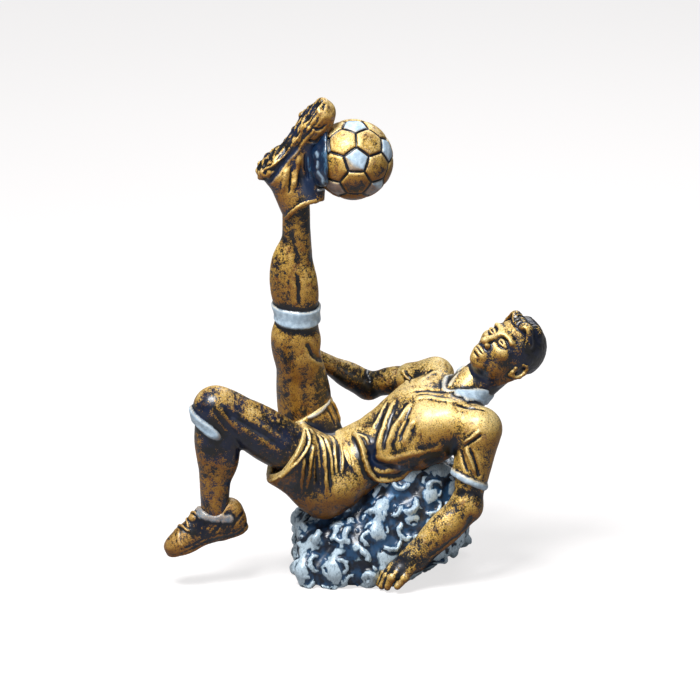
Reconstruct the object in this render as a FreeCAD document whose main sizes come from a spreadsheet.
"""Overhead-kick figure award in cold-cast resin.

A footballer lies back over a rock and strikes a ball with one boot above his head. The figure is cast in
sections that meet at the edges of the kit: leg openings, waist, collar, sleeve ends and boot tops. Each
joint is a flat-bottomed pocket with a steel rod or wire across it. The base takes an M6 screw from below.

Frame: millimetres, +Z up, -Y is the front, origin at the mouth of the threaded insert.
"""
import FreeCAD
import Part
import Sketcher
import math
import os

Vector = FreeCAD.Vector
Z_AXIS = Vector(0, 0, 1)
doc = FreeCAD.newDocument("overhead_kick_figure")
sheet = doc.addObject("Spreadsheet::Sheet", "dims")

# Driving dimensions, in millimetres: alias, value, meaning.
SIZES = [
    ("thigh_radius", 13.6, "thigh at its middle"),
    ("knee_radius", 12.0, "round the kneecap"),
    ("calf_radius", 11.4, "thickest part of the calf"),
    ("ankle_radius", 6.9, "above the boot"),
    ("bicep_radius", 8.0, "left upper arm below the sleeve"),
    ("forearm_radius", 6.6, "left forearm near the elbow"),
    ("slim_arm_radius", 5.4, "right arm below the sleeve"),
    ("chest_wide", 26.0, "half of the chest from side to side"),
    ("chest_deep", 17.5, "half of the chest from front to back"),
    ("waist_wide", 18.0, "half of the waist from side to side"),
    ("waist_deep", 14.0, "half of the waist from front to back"),
    ("hem_radius", 16.6, "leg opening of the shorts"),
    ("sleeve_radius", 10.0, "left sleeve at its end"),
    ("neck_radius", 8.4, "neck inside the collar"),
    ("collar_radius", 11.2, "outside of the collar"),
    ("collar_height", 7.0, "collar above the neck joint"),
    ("skull_high", 18.0, "half height of the head"),
    ("skull_wide", 13.2, "half width of the head"),
    ("skull_deep", 15.6, "half depth of the head"),
    ("boot_wide", 8.6, "half width of a boot at the ball of the foot"),
    ("ball_radius", 20.0, "football"),
    ("glue_gap", 0.1, "gap round a rod in its drilled hole"),
    ("joint_gap", 0.3, "gap round a casting in its pocket"),
    ("leg_rod_diameter", 3.0, "steel through the raised leg"),
    ("leg_rod_length", 142.0, "from the pelvis to the boot"),
    ("spine_rod_diameter", 4.0, "steel across the waist"),
    ("spine_rod_length", 52.0, "from the pelvis to the chest"),
    ("neck_pin_diameter", 3.0, "steel across the neck joint"),
    ("neck_pin_length", 24.0, "half in the chest and half in the neck"),
    ("ball_pin_diameter", 2.5, "steel from the boot to the ball"),
    ("ball_pin_length", 28.0, "centred between the instep and the ball"),
    ("limb_wire_diameter", 3.0, "bent steel wire in each bent limb"),
    ("limb_wire_bend", 9.0, "radius of the wire's bend"),
    ("rock_dowel_diameter", 5.0, "steel from the rock into the body"),
    ("rock_dowel_length", 20.0, "half in the rock"),
    ("insert_body_radius", 4.3, "brass insert, knurled part"),
    ("insert_flange_radius", 6.5, "brass insert, flange"),
    ("insert_flange_height", 1.0, "brass insert, flange"),
    ("insert_depth", 13.0, "brass insert, overall"),
    ("insert_bore_radius", 2.5, "M6 thread, minor radius"),
    ("thread_depth", 12.0, "usable M6 thread"),
    ("felt_thickness", 1.0, "felt set flush in the underside"),
    ("felt_margin", 4.0, "rim of resin round the felt"),
    ("felt_gap", 0.2, "gap between the felt and its recess"),
    ("knurl_groove_radius", 0.3, "each groove of the insert's knurl"),
]

# Places on the body: name to (x, y, z).
LANDMARKS = {
    "right_hip": (-31.5, 14.0, 64.0),
    "right_knee": (-36.5, 6.0, 121.0),
    "right_calf": (-38.8, 3.0, 154.0),
    "right_ankle": (-36.0, 0.0, 189.0),
    "right_heel": (-49.0, -1.0, 209.5),
    "right_instep": (-36.5, -2.0, 217.0),
    "right_forefoot": (-28.5, -2.0, 232.0),
    "right_toe": (-22.5, -2.0, 244.5),
    "ball": (-8.0, 1.5, 214.6),
    "left_hip": (-33.0, -18.0, 66.0),
    "left_knee": (-76.0, -26.0, 94.2),
    "left_ankle": (-77.3, -24.0, 38.0),
    "left_heel": (-67.0, -21.5, 31.5),
    "left_instep": (-79.5, -24.0, 30.0),
    "left_forefoot": (-91.5, -26.5, 23.6),
    "left_toe": (-99.0, -28.0, 18.8),
    "left_buttock": (-20.0, -12.0, 50.0),
    "pelvis": (-23.0, -3.0, 54.0),
    "waist": (-6.0, -2.0, 59.0),
    "chest": (30.0, 3.0, 77.0),
    "neck": (50.0, 9.0, 93.0),
    "head": (69.5, 9.0, 112.0),
    "chin": (58.0, 2.0, 108.5),
    "right_shoulder": (33.5, 30.0, 92.0),
    "right_elbow": (-0.5, 46.0, 82.0),
    "right_wrist": (-25.5, 38.0, 98.0),
    "right_fingers": (-38.0, 32.0, 106.0),
    "left_shoulder": (54.8, -16.0, 79.5),
    "left_elbow": (50.0, -24.0, 40.5),
    "left_wrist": (22.0, -30.0, 15.0),
    "left_fingers": (5.0, -34.0, 5.0),
    "seat_dowel": (-8.0, 2.0, 26.0),
    "back_dowel": (24.0, 4.0, 44.0),
}

# Side directions: the wide axis of a cross-section points this way.
BODY_LEFT = Vector(0.46, -0.85, -0.25)
HEAD_LEFT = Vector(0.46, -0.81, -0.35)
HEAD_UP = Vector(0.78, 0.19, 0.59)
FRONT = Vector(0, -1, 0)

# The rock from left to right: x, front edge, back edge, height.
ROCK_SLICES = [
    (-39.0, -26.0, 26.0, 22.0),
    (-34.0, -31.0, 32.0, 28.0),
    (-16.0, -33.0, 37.0, 37.0),
    (8.0, -31.0, 38.0, 51.0),
    (30.0, -24.0, 37.0, 59.0),
    (42.0, -14.0, 33.0, 54.0),
    (49.0, -6.0, 26.0, 40.0),
]

# Half an arch across a slice: share of the half width, share of the height. Its last point is near the top.
ROCK_ARCH = [(1.0, 0.35), (0.78, 0.72), (0.38, 1.0)]

# The flat underside: corners in order, and how far each moves for every millimetre of margin.
FOOTPRINT = [
    ((-38.0, -29.0), (1.0, 1.0)),
    ((6.0, -31.0), (-0.4, 1.0)),
    ((39.0, 36.0), (-1.6, -1.0)),
    ((-37.0, 31.0), (1.0, -1.0)),
]

# The undercut at the lower right of the rock: its plane starts here, and runs along and across these.
SLOPE_START = Vector(10, -4, -11.5)
SLOPE_ALONG = Vector(0.822, 0.176, 0.541)
SLOPE_ACROSS = Vector(0, -0.951, 0.309)


def fill_sheet():
    """Writes every size and landmark into the sheet, one row each, with an alias."""
    rows = list(SIZES)
    for name, place in LANDMARKS.items():
        for axis, value in zip("xyz", place):
            rows.append((f"{name}_{axis}", value, f"{name}, {axis}"))
    for row, (alias, value, meaning) in enumerate(rows, start=1):
        sheet.set(f"A{row}", meaning)
        sheet.set(f"B{row}", str(value))
        sheet.setAlias(f"B{row}", alias)
    doc.recompute()


def size(alias):
    return float(sheet.get(alias))


def point(name):
    return Vector(*(size(f"{name}_{axis}") for axis in "xyz"))


def between(start, end, share):
    """The point at this share of the way; a share below 0 or above 1 runs past an end."""
    return point(start) * (1 - share) + point(end) * share


def heading(start, end):
    return (point(end) - point(start)).normalize()


def bend_axis(start, middle, end):
    """The direction square to a bent limb, so that its rings don't twist round the bend."""
    return heading(start, middle).cross(heading(middle, end)).normalize()


def turned(along, side=FRONT):
    """Rotation whose Z is `along` and whose X is as near to `side` as it can be."""
    return FreeCAD.Rotation(side, Vector(), along, "ZXY")


def bind_place(item, start, end, share):
    """Ties an object's position to two landmarks in the sheet."""
    for axis in "xyz":
        item.setExpression(
            f".Placement.Base.{axis}",
            f"dims.{start}_{axis} * {1 - share:.4f} + dims.{end}_{axis} * {share:.4f}",
        )


def ring(name, place, along, side, wide, deep):
    """An elliptical cross-section. `wide` lies along `side` and isn't smaller than `deep`."""
    item = doc.addObject("Part::Ellipse", name)
    item.setExpression("MajorRadius", f"dims.{wide}")
    item.setExpression("MinorRadius", f"dims.{deep}")
    item.Placement = FreeCAD.Placement(between(*place), turned(along, side))
    bind_place(item, *place)
    return item


def limb(name, side, stations):
    """A loft through stations of (start, end, share, wide, deep). Each ring faces its neighbours."""
    places = [station[:3] for station in stations]
    centres = [between(*place) for place in places]
    rings = []
    for i, (place, station) in enumerate(zip(places, stations)):
        before, after = centres[max(i - 1, 0)], centres[min(i + 1, len(centres) - 1)]
        rings.append(ring(f"{name}_ring{i}", place, after - before, side, *station[3:]))
    loft = doc.addObject("Part::Loft", name)
    loft.Sections = rings
    loft.Solid = True
    return loft


def cylinder(name, place, along, radius, height):
    """A cylinder from a landmark place; radius and height are expressions on the sheet."""
    item = doc.addObject("Part::Cylinder", name)
    item.setExpression("Radius", radius)
    item.setExpression("Height", height)
    item.Placement = FreeCAD.Placement(between(*place), turned(along))
    bind_place(item, *place)
    return item


def sphere(name, place, radius):
    item = doc.addObject("Part::Sphere", name)
    item.setExpression("Radius", f"dims.{radius}")
    bind_place(item, place, place, 0)
    return item


def fuse(name, items):
    item = doc.addObject("Part::MultiFuse", name)
    item.Shapes = items
    return item


def cut(name, base, tools):
    """The base less all its tools."""
    for i, tool in enumerate(tools):
        step = doc.addObject("Part::Cut", f"{name}_cut{i}")
        step.Base = base
        step.Tool = tool
        base = step
    return base


def body(label, placement):
    item = doc.addObject("PartDesign::Body", label)
    item.Label = label
    item.Placement = placement
    return item


def plane(owner, role):
    return next(f for f in owner.Origin.OriginFeatures if f.Role == role)


def circle_sketch(owner, name, role, diameter, allowance="0"):
    sketch = owner.newObject("Sketcher::SketchObject", name)
    sketch.AttachmentSupport = (plane(owner, role), [""])
    sketch.MapMode = "FlatFace"
    sketch.addGeometry(Part.Circle(Vector(), Z_AXIS, 1), False)
    sketch.addConstraint(Sketcher.Constraint("Coincident", 0, 3, -1, 1))
    sketch.addConstraint(Sketcher.Constraint("Diameter", 0, 2.0))
    sketch.renameConstraint(1, "across")
    sketch.setExpression("Constraints.across", f"dims.{diameter} + 2 * {allowance}")
    return sketch


def straight_rod(label, middle, along, diameter, length, allowance="0"):
    """A steel rod centred on a joint. With an allowance it is the drilled hole for that rod."""
    start = middle - Vector(along).normalize() * (size(length) / 2)
    owner = body(label, FreeCAD.Placement(start, turned(along)))
    sketch = circle_sketch(owner, f"{label}_end", "XY_Plane", diameter, allowance)
    pad = owner.newObject("PartDesign::Pad", f"{label}_pad")
    pad.Profile = sketch
    pad.setExpression("Length", f"dims.{length} + {allowance}")
    return owner


def bent_wire(label, corners, bend_radius, diameter, allowance="0"):
    """A wire through three corners, in the plane that holds them, with a rounded bend."""
    start, knee, end = corners
    first, second = (knee - start).normalize(), (end - knee).normalize()
    normal = first.cross(second)
    turn = FreeCAD.Rotation(first, Vector(), normal, "ZXY")
    owner = body(label, FreeCAD.Placement(start, turn))
    local = [turn.inverted().multVec(corner - start) for corner in corners]
    back = turn.inverted().multVec(second)
    angle = first.getAngle(second)
    reach = bend_radius * math.tan(angle / 2)
    into, out = local[1] - Vector(reach, 0, 0), local[1] + back * reach
    centre = into + Vector(0, bend_radius, 0)
    half = (into + out) * 0.5
    crown = centre + (half - centre).normalize() * bend_radius
    path = owner.newObject("Sketcher::SketchObject", f"{label}_path")
    path.AttachmentSupport = (plane(owner, "XY_Plane"), [""])
    path.MapMode = "FlatFace"
    path.addGeometry(Part.LineSegment(local[0], into), False)
    path.addGeometry(Part.Arc(into, crown, out), False)
    path.addGeometry(Part.LineSegment(out, local[2]), False)
    profile = circle_sketch(owner, f"{label}_end", "YZ_Plane", diameter, allowance)
    doc.recompute()
    pipe = owner.newObject("PartDesign::AdditivePipe", f"{label}_pipe")
    pipe.Profile = profile
    pipe.Spine = (path, ["Edge1", "Edge2", "Edge3"])
    return owner


def shirt_casting():
    """Trunk, yokes, short sleeves and collar."""
    trunk = limb("shirt_trunk", BODY_LEFT, [
        ("waist", "chest", 0.0, "waist_wide * 1.04", "waist_deep * 1.04"),
        ("waist", "chest", 0.25, "waist_wide", "waist_deep"),
        ("waist", "chest", 0.62, "chest_wide * 0.9", "chest_deep * 0.93"),
        ("waist", "chest", 1.0, "chest_wide", "chest_deep"),
        ("chest", "neck", 0.5, "chest_wide * 0.92", "chest_deep * 0.82"),
        ("chest", "neck", 0.85, "collar_radius * 1.3", "collar_radius * 1.05"),
        ("chest", "neck", 1.0, "collar_radius", "collar_radius * 0.95"),
    ])
    left_yoke = limb("left_yoke", FRONT, [
        ("chest", "left_shoulder", 0.3, "sleeve_radius * 1.2", "sleeve_radius * 1.2"),
        ("chest", "left_shoulder", 1.0, "sleeve_radius * 1.15", "sleeve_radius * 1.15"),
    ])
    left_cap = sphere("left_shoulder_cap", "left_shoulder", "sleeve_radius * 1.2")
    left_sleeve = limb("left_sleeve", FRONT, [
        ("left_shoulder", "left_elbow", 0.02, "sleeve_radius * 1.16", "sleeve_radius * 1.16"),
        ("left_shoulder", "left_elbow", 0.66, "sleeve_radius", "sleeve_radius"),
    ])
    right_yoke = limb("right_yoke", FRONT, [
        ("chest", "right_shoulder", 0.3, "sleeve_radius", "sleeve_radius"),
        ("chest", "right_shoulder", 1.0, "sleeve_radius * 0.9", "sleeve_radius * 0.9"),
    ])
    right_cap = sphere("right_shoulder_cap", "right_shoulder", "sleeve_radius * 0.94")
    right_sleeve = limb("right_sleeve", FRONT, [
        ("right_shoulder", "right_elbow", 0.02, "sleeve_radius * 0.9", "sleeve_radius * 0.9"),
        ("right_shoulder", "right_elbow", 0.5, "slim_arm_radius * 1.35", "slim_arm_radius * 1.35"),
    ])
    collar = cylinder("collar_ring", ("chest", "neck", 0.9), heading("neck", "head"),
                      "dims.collar_radius", "dims.collar_height + 2.5")
    return fuse("shirt_solid", [
        trunk, left_yoke, left_cap, left_sleeve, right_yoke, right_cap, right_sleeve, collar])


def shorts_casting():
    """Seat and the two flared legs of the shorts."""
    seat = limb("shorts_seat", BODY_LEFT, [
        ("pelvis", "waist", -0.75, "hem_radius * 0.9", "hem_radius * 0.75"),
        ("pelvis", "waist", -0.3, "hem_radius * 1.28", "hem_radius * 1.15"),
        ("pelvis", "waist", 0.3, "hem_radius * 1.25", "hem_radius * 1.1"),
        ("pelvis", "waist", 1.0, "waist_wide", "waist_deep"),
    ])
    left_flare = limb("left_flare", FRONT, [
        ("left_buttock", "left_hip", 0.0, "hem_radius * 1.12", "hem_radius * 1.12"),
        ("left_hip", "left_knee", 0.0, "hem_radius * 1.05", "hem_radius * 1.05"),
        ("left_hip", "left_knee", 0.2, "hem_radius * 1.02", "hem_radius * 1.02"),
    ])
    right_flare = limb("right_flare", FRONT, [
        ("right_hip", "right_knee", -0.2, "hem_radius * 0.9", "hem_radius * 0.9"),
        ("right_hip", "right_knee", 0.0, "hem_radius * 0.95", "hem_radius * 0.95"),
        ("right_hip", "right_knee", 0.26, "hem_radius * 0.92", "hem_radius * 0.92"),
    ])
    return fuse("shorts_solid", [seat, left_flare, right_flare])


def right_leg_casting():
    """The raised leg, nearly straight, as one loft."""
    return limb("right_leg_solid", FRONT, [
        ("right_hip", "right_knee", 0.0, "thigh_radius", "thigh_radius"),
        ("right_hip", "right_knee", 0.4, "thigh_radius", "thigh_radius"),
        ("right_hip", "right_knee", 0.85, "knee_radius", "knee_radius * 0.96"),
        ("right_knee", "right_calf", 0.3, "knee_radius", "knee_radius"),
        ("right_calf", "right_ankle", 0.0, "calf_radius", "calf_radius"),
        ("right_calf", "right_ankle", 0.6, "ankle_radius * 1.12", "ankle_radius * 1.12"),
        ("right_knee", "right_ankle", 0.95, "ankle_radius", "ankle_radius"),
        ("right_knee", "right_ankle", 1.06, "ankle_radius", "ankle_radius"),
    ])


def left_leg_casting():
    """The bent leg: thigh, kneecap and shin."""
    thigh = limb("left_thigh", FRONT, [
        ("left_hip", "left_knee", 0.0, "thigh_radius", "thigh_radius"),
        ("left_hip", "left_knee", 0.45, "thigh_radius", "thigh_radius"),
        ("left_hip", "left_knee", 0.97, "knee_radius * 0.97", "knee_radius * 0.97"),
    ])
    kneecap = sphere("left_kneecap", "left_knee", "knee_radius")
    shin = limb("left_shin", FRONT, [
        ("left_knee", "left_ankle", 0.03, "knee_radius * 0.97", "knee_radius * 0.97"),
        ("left_knee", "left_ankle", 0.38, "calf_radius", "calf_radius"),
        ("left_knee", "left_ankle", 0.72, "ankle_radius * 1.05", "ankle_radius * 1.05"),
        ("left_knee", "left_ankle", 1.0, "ankle_radius", "ankle_radius"),
    ])
    return fuse("left_leg_solid", [thigh, kneecap, shin])


def left_arm_casting():
    """The arm that reaches down along the rock, with its hand."""
    return limb("left_arm_solid", bend_axis("left_shoulder", "left_elbow", "left_wrist"), [
        ("left_shoulder", "left_elbow", 0.58, "bicep_radius", "bicep_radius"),
        ("left_shoulder", "left_elbow", 0.85, "bicep_radius * 0.95", "bicep_radius * 0.95"),
        ("left_elbow", "left_wrist", 0.15, "forearm_radius * 1.08", "forearm_radius * 1.08"),
        ("left_elbow", "left_wrist", 0.5, "forearm_radius", "forearm_radius"),
        ("left_elbow", "left_wrist", 1.0, "forearm_radius * 0.78", "forearm_radius * 0.7"),
        ("left_wrist", "left_fingers", 0.5, "forearm_radius * 1.15", "forearm_radius * 0.62"),
        ("left_wrist", "left_fingers", 1.0, "forearm_radius * 0.8", "forearm_radius * 0.4"),
    ])


def right_arm_casting():
    """The arm that swings back behind the raised leg, with its hand."""
    return limb("right_arm_solid", bend_axis("right_shoulder", "right_elbow", "right_wrist"), [
        ("right_shoulder", "right_elbow", 0.42, "slim_arm_radius", "slim_arm_radius"),
        ("right_shoulder", "right_elbow", 0.8, "slim_arm_radius", "slim_arm_radius"),
        ("right_elbow", "right_wrist", 0.2, "slim_arm_radius", "slim_arm_radius"),
        ("right_elbow", "right_wrist", 1.0, "slim_arm_radius * 0.8", "slim_arm_radius * 0.7"),
        ("right_wrist", "right_fingers", 0.5, "slim_arm_radius * 1.1", "slim_arm_radius * 0.65"),
        ("right_wrist", "right_fingers", 1.0, "slim_arm_radius * 0.8", "slim_arm_radius * 0.4"),
    ])


def egg(name, place, share):
    """An ellipsoid with the head's proportions, turned the way the head faces."""
    item = doc.addObject("Part::Ellipsoid", name)
    item.setExpression("Radius1", f"dims.skull_high * {share}")
    item.setExpression("Radius2", f"dims.skull_wide * {share}")
    item.setExpression("Radius3", f"dims.skull_deep * {share}")
    item.Angle1, item.Angle2 = -90, 90
    item.Placement = FreeCAD.Placement(between(*place), turned(HEAD_UP, HEAD_LEFT))
    bind_place(item, *place)
    return item


def head_casting():
    """Skull, jaw and neck."""
    skull = egg("skull", ("neck", "head", 1.0), 1.0)
    jaw = egg("jaw", ("head", "chin", 0.8), 0.62)
    neck = cylinder("neck_column", ("neck", "head", 0.0), heading("neck", "head"),
                    "dims.neck_radius", "dims.skull_high")
    return fuse("head_solid", [skull, jaw, neck])


def boot_casting(side, cuff_share, counter_share):
    """A boot: foot, cuff and heel counter. The cuff starts at cuff_share of the shin."""
    heel, ankle, instep, forefoot, toe = (
        f"{side}_{place}" for place in ("heel", "ankle", "instep", "forefoot", "toe"))
    foot = limb(f"{side}_foot", FRONT, [
        (instep, heel, 1.55, "boot_wide * 0.45", "boot_wide * 0.45"),
        (instep, heel, 1.15, "boot_wide * 0.8", "boot_wide * 0.8"),
        (instep, forefoot, 0.0, "boot_wide * 1.15", "boot_wide * 0.95"),
        (instep, forefoot, 1.0, "boot_wide", "boot_wide * 0.85"),
        (forefoot, toe, 0.9, "boot_wide * 0.75", "boot_wide * 0.55"),
        (forefoot, toe, 1.25, "boot_wide * 0.4", "boot_wide * 0.3"),
    ])
    cuff = limb(f"{side}_cuff", FRONT, [
        (f"{side}_knee", ankle, cuff_share, "ankle_radius * 1.28", "ankle_radius * 1.28"),
        (f"{side}_knee", ankle, cuff_share + 0.12, "ankle_radius * 1.4", "ankle_radius * 1.4"),
        (f"{side}_knee", ankle, cuff_share + 0.32, "boot_wide * 0.8", "boot_wide * 0.8"),
    ])
    counter = limb(f"{side}_counter", FRONT, [
        (heel, ankle, 0.05, "boot_wide * 0.68", "boot_wide * 0.68"),
        (heel, ankle, counter_share, "ankle_radius * 1.15", "ankle_radius * 1.15"),
    ])
    return fuse(f"{side}_boot_solid", [foot, cuff, counter])


def web_casting():
    """The lump of resin that joins the laces of the raised boot to the ball."""
    return limb("web_solid", FRONT, [
        ("right_instep", "ball", 0.25, "boot_wide * 1.1", "boot_wide"),
        ("right_instep", "ball", 0.75, "boot_wide * 1.15", "boot_wide"),
    ])


def block(name, corner, sides, rotation=FreeCAD.Rotation()):
    item = doc.addObject("Part::Box", name)
    item.Length, item.Width, item.Height = sides
    item.Placement = FreeCAD.Placement(corner, rotation)
    return item


def rock_casting():
    """The rock: arched slices from left to right, sawn flat underneath and undercut at the lower right."""
    below = -6.0
    wires = []
    for x, front, back, high in ROCK_SLICES:
        rising = [(front * wide, high * up) for wide, up in ROCK_ARCH]
        falling = [(back * wide, high * up) for wide, up in reversed(ROCK_ARCH)]
        outline = [(front, below), *rising, *falling, (back, below)]
        corners = [Vector(x, y, z) for y, z in outline]
        wires.append(Part.makePolygon(corners + corners[:1]))
    loft = doc.addObject("Part::Feature", "rock_loft")
    loft.Shape = Part.makeLoft(wires, True, True)
    floor = block("rock_floor", Vector(-60, -60, -20), (140, 120, 20))
    downwards = SLOPE_ALONG.cross(SLOPE_ACROSS)
    turn = FreeCAD.Rotation(SLOPE_ALONG, SLOPE_ACROSS, downwards, "XYZ")
    corner = SLOPE_START - SLOPE_ACROSS * 100 - SLOPE_ALONG * 20
    slope = block("rock_slope", corner, (120, 200, 80), turn)
    return cut("rock_trimmed", loft, [floor, slope])


def felt(label, gap="0"):
    """Felt for the underside, holed for the insert's flange. With a gap it is the recess for it."""
    owner = body(label, FreeCAD.Placement())
    outline = owner.newObject("Sketcher::SketchObject", f"{label}_outline")
    outline.AttachmentSupport = (plane(owner, "XY_Plane"), [""])
    outline.MapMode = "FlatFace"
    margin = size("felt_margin")
    if gap != "0":
        margin -= size(gap)
    corners = [Vector(x + dx * margin, y + dy * margin, 0) for (x, y), (dx, dy) in FOOTPRINT]
    for start, end in zip(corners, corners[1:] + corners[:1]):
        outline.addGeometry(Part.LineSegment(start, end), False)
    for i in range(len(corners)):
        outline.addConstraint(Sketcher.Constraint("Coincident", i, 2, (i + 1) % len(corners), 1))
    pad = owner.newObject("PartDesign::Pad", f"{label}_pad")
    pad.Profile = outline
    pad.setExpression("Length", "dims.felt_thickness")
    if gap != "0":
        return owner
    doc.recompute()
    hole = owner.newObject("PartDesign::Pocket", f"{label}_hole")
    hole.Profile = circle_sketch(
        owner, f"{label}_circle", "XY_Plane", "insert_flange_radius * 2", "dims.joint_gap")
    hole.Type = "ThroughAll"
    hole.Midplane = True
    return owner


def threaded_insert():
    """Flanged brass insert with a straight knurl and an M6 bore open at the bottom."""
    owner = body("threaded_insert", FreeCAD.Placement())
    for name, radius, height in (("flange", "insert_flange_radius", "insert_flange_height"),
                                 ("barrel", "insert_body_radius", "insert_depth")):
        pad = owner.newObject("PartDesign::Pad", f"insert_{name}")
        pad.Profile = circle_sketch(owner, f"insert_{name}_circle", "XY_Plane", f"{radius} * 2")
        pad.setExpression("Length", f"dims.{height}")
        doc.recompute()
    bore = owner.newObject("PartDesign::Pocket", "insert_bore")
    bore.Profile = circle_sketch(owner, "insert_bore_circle", "XY_Plane", "insert_bore_radius * 2")
    bore.Reversed = True
    bore.setExpression("Length", "dims.thread_depth")
    doc.recompute()
    circle = owner.newObject("Sketcher::SketchObject", "insert_groove_circle")
    circle.AttachmentSupport = (plane(owner, "XY_Plane"), [""])
    circle.MapMode = "FlatFace"
    above_flange = Vector(0, 0, size("insert_flange_height") + 1)
    circle.AttachmentOffset = FreeCAD.Placement(above_flange, FreeCAD.Rotation())
    edge = Vector(size("insert_body_radius"), 0, 0)
    circle.addGeometry(Part.Circle(edge, Z_AXIS, size("knurl_groove_radius")), False)
    groove = owner.newObject("PartDesign::Pocket", "insert_groove")
    groove.Profile = circle
    groove.Reversed = True
    groove.Length = 8
    doc.recompute()
    knurl = owner.newObject("PartDesign::PolarPattern", "insert_knurl")
    knurl.Originals = [groove]
    knurl.Axis = (circle, ["N_Axis"])
    knurl.Occurrences = 20
    owner.Tip = knurl
    return owner


def hip_cone(side, mouth_share, mouth):
    """The pocket in a leg opening: fits the thigh at its bottom and widens to the hem."""
    item = doc.addObject("Part::Cone", f"{side}_hip_pocket")
    item.setExpression("Radius1", "dims.thigh_radius + dims.joint_gap")
    item.setExpression("Radius2", f"dims.hem_radius * {mouth}")
    item.Height = (point(f"{side}_knee") - point(f"{side}_hip")).Length * mouth_share
    item.Placement = FreeCAD.Placement(point(f"{side}_hip"), turned(heading(f"{side}_hip", f"{side}_knee")))
    bind_place(item, f"{side}_hip", f"{side}_hip", 0)
    return item


def rods(prefix="", allowance="0"):
    """All steel rods and wires. With a prefix and an allowance these are their drilled holes."""
    hip, ankle = point("right_hip"), point("right_ankle")
    ball_way = point("ball") - point("right_instep")
    bend = size("limb_wire_bend")
    return {
        "leg_rod": straight_rod(f"{prefix}leg_rod", (hip + ankle) * 0.5, ankle - hip,
                                "leg_rod_diameter", "leg_rod_length", allowance),
        "spine_rod": straight_rod(f"{prefix}spine_rod", point("waist"), heading("pelvis", "chest"),
                                  "spine_rod_diameter", "spine_rod_length", allowance),
        "neck_pin": straight_rod(f"{prefix}neck_pin", point("neck"), heading("neck", "head"),
                                 "neck_pin_diameter", "neck_pin_length", allowance),
        "ball_pin": straight_rod(f"{prefix}ball_pin", between("right_instep", "ball", 0.5), ball_way,
                                 "ball_pin_diameter", "ball_pin_length", allowance),
        "left_leg_wire": bent_wire(
            f"{prefix}left_leg_wire",
            [between("left_hip", "left_knee", -0.18), between("left_hip", "left_knee", 0.94),
             between("left_knee", "left_ankle", 1.1)], bend, "limb_wire_diameter", allowance),
        "left_arm_wire": bent_wire(
            f"{prefix}left_arm_wire",
            [between("left_shoulder", "left_elbow", 0.3), point("left_elbow"),
             between("left_elbow", "left_wrist", 0.8)], bend, "limb_wire_diameter", allowance),
        "right_arm_wire": bent_wire(
            f"{prefix}right_arm_wire",
            [between("right_shoulder", "right_elbow", 0.1), point("right_elbow"),
             between("right_elbow", "right_wrist", 0.8)], bend, "limb_wire_diameter", allowance),
    }


def rock_dowel(label):
    """An upright steel dowel, half in the rock and half in the body above it."""
    item = doc.addObject("Part::Cylinder", label)
    item.setExpression("Radius", "dims.rock_dowel_diameter / 2")
    item.setExpression("Height", "dims.rock_dowel_length")
    bind_place(item, label, label, 0)
    return item


def pocket(name, place, along, radius, height):
    """A round flat-bottomed pocket for the end of a casting of this radius."""
    return cylinder(name, place, along, f"dims.{radius} + dims.joint_gap", height)


def upper_body(solid, hole, seat_dowel, back_dowel):
    """Shorts, shirt, head and arms, with their pockets and rod holes cut."""
    arm_pocket = pocket("left_arm_pocket", ("left_shoulder", "left_elbow", 0.58),
                        heading("left_shoulder", "left_elbow"), "bicep_radius", "20")
    slim_pocket = pocket("right_arm_pocket", ("right_shoulder", "right_elbow", 0.42),
                         heading("right_shoulder", "right_elbow"), "slim_arm_radius", "20")
    neck_pocket = pocket("neck_pocket", ("neck", "head", 0.0), heading("neck", "head"),
                         "neck_radius", "dims.collar_height + 4")
    return {
        "shorts": cut("shorts", solid["shorts"], [
            hip_cone("right", 0.32, 0.9), hip_cone("left", 0.22, 0.95), solid["right_leg"],
            hole["leg_rod"], hole["spine_rod"], hole["left_leg_wire"], seat_dowel]),
        "shirt": cut("shirt", solid["shirt"], [
            solid["shorts"], solid["head"], solid["right_arm"], arm_pocket, slim_pocket, neck_pocket,
            hole["spine_rod"], hole["neck_pin"], hole["left_arm_wire"], hole["right_arm_wire"],
            back_dowel]),
        "head": cut("head", solid["head"], [hole["neck_pin"]]),
        "left_arm": cut("left_arm", solid["left_arm"], [hole["left_arm_wire"]]),
        "right_arm": cut("right_arm", solid["right_arm"], [hole["right_arm_wire"]]),
    }


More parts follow.
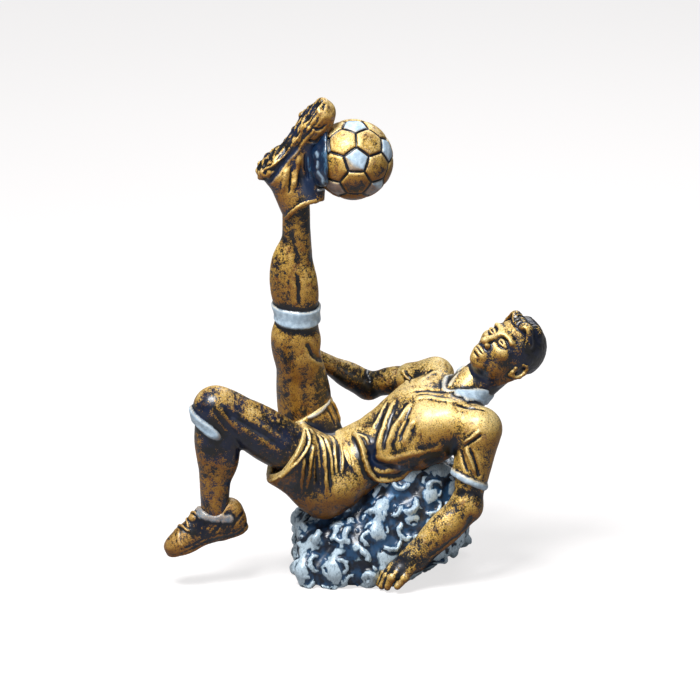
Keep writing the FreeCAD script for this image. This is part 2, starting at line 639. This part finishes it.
def legs_and_ball(solid, hole):
    """Legs, boots, ball and the web between them, with their pockets and rod holes cut."""
    right_pocket = pocket("right_boot_pocket", ("right_knee", "right_ankle", 1.06),
                          heading("right_ankle", "right_calf"), "ankle_radius", "24")
    left_pocket = pocket("left_boot_pocket", ("left_knee", "left_ankle", 1.0),
                         heading("left_ankle", "left_knee"), "ankle_radius", "24")
    ball = sphere("ball_solid", "ball", "ball_radius")
    return {
        "right_leg": cut("right_leg", solid["right_leg"], [hole["leg_rod"]]),
        "left_leg": cut("left_leg", solid["left_leg"], [hole["left_leg_wire"]]),
        "right_boot": cut("right_boot", solid["right_boot"], [
            right_pocket, solid["right_leg"], ball, hole["leg_rod"], hole["ball_pin"]]),
        "left_boot": cut("left_boot", solid["left_boot"], [
            left_pocket, solid["left_leg"], hole["left_leg_wire"]]),
        "ball_web": cut("ball_web", web_casting(), [ball, solid["right_boot"], hole["ball_pin"]]),
        "ball": cut("ball", ball, [hole["ball_pin"]]),
    }


def rock_base(solid, seat_dowel, back_dowel):
    """The rock, with the body's seat, the dowel holes, the insert's hole and the felt's recess."""
    insert_hole = doc.addObject("Part::Cylinder", "insert_hole")
    insert_hole.setExpression("Radius", "dims.insert_body_radius")
    insert_hole.setExpression("Height", "dims.insert_depth")
    return cut("rock_base", rock_casting(), [
        solid["shorts"], solid["shirt"], solid["left_arm"], seat_dowel, back_dowel,
        felt("felt_recess", "felt_gap"), insert_hole])


def assemble():
    """Every finished sub-part by node name."""
    solid = {
        "shirt": shirt_casting(),
        "shorts": shorts_casting(),
        "head": head_casting(),
        "right_leg": right_leg_casting(),
        "left_leg": left_leg_casting(),
        "left_arm": left_arm_casting(),
        "right_arm": right_arm_casting(),
        "right_boot": boot_casting("right", 0.99, 0.75),
        "left_boot": boot_casting("left", 0.86, 0.6),
    }
    hole = rods("drill_", "dims.glue_gap")
    seat_dowel, back_dowel = rock_dowel("seat_dowel"), rock_dowel("back_dowel")
    parts = {
        "rock_base": rock_base(solid, seat_dowel, back_dowel),
        "base_felt": felt("base_felt"),
        "threaded_insert": threaded_insert(),
        "seat_dowel": seat_dowel,
        "back_dowel": back_dowel,
        **upper_body(solid, hole, seat_dowel, back_dowel),
        **legs_and_ball(solid, hole),
        **rods(),
    }
    doc.recompute()
    return parts


def check_and_write(parts):
    """Stops on any failed object or bad shape, then writes one STEP file per sub-part."""
    failed = [item.Name for item in doc.Objects if {"Invalid", "Error"} & set(item.State)]
    if failed:
        raise RuntimeError(f"failed objects: {failed}")
    os.makedirs("parts", exist_ok=True)
    for label, item in parts.items():
        if item.Shape.isNull() or not item.Shape.isValid() or len(item.Shape.Solids) != 1:
            raise RuntimeError(f"{label} isn't one valid solid")
        item.Label = label
        item.Shape.exportStep(f"parts/{label}.step")


fill_sheet()
check_and_write(assemble())
